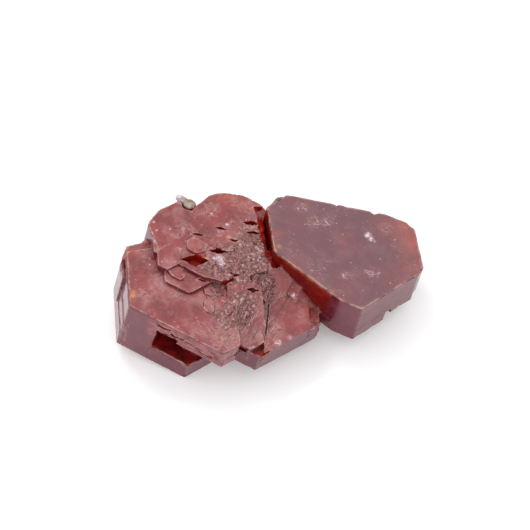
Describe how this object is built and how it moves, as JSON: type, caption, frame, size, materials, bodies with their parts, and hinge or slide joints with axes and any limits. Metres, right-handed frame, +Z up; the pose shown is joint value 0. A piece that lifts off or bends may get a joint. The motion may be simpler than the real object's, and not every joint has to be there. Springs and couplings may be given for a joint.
{
  "type": "mineral specimen",
  "caption": "Cluster of intergrown tabular six-sided vanadinite crystals, loose specimen for display, stepped and etched faces, flat cut foot.",
  "frame": {"origin": "middle of the bounding box, on the plane of the flat foot that the specimen rests on", "axes": "+Z up from the flat foot, +X along the longest side from the stepped left crystal towards the cleaner right crystal, +Y towards the back as pictured"},
  "size_m": [0.0256, 0.0158, 0.0088],
  "materials": {
    "vanadinite": "resinous gloss, etched in places",
    "host_rock": "dull"
  },
  "bodies": {
    "root": {"vanadinite_crystal": "vanadinite", "pale_grain": "host_rock"}
  },
  "joints": []
}
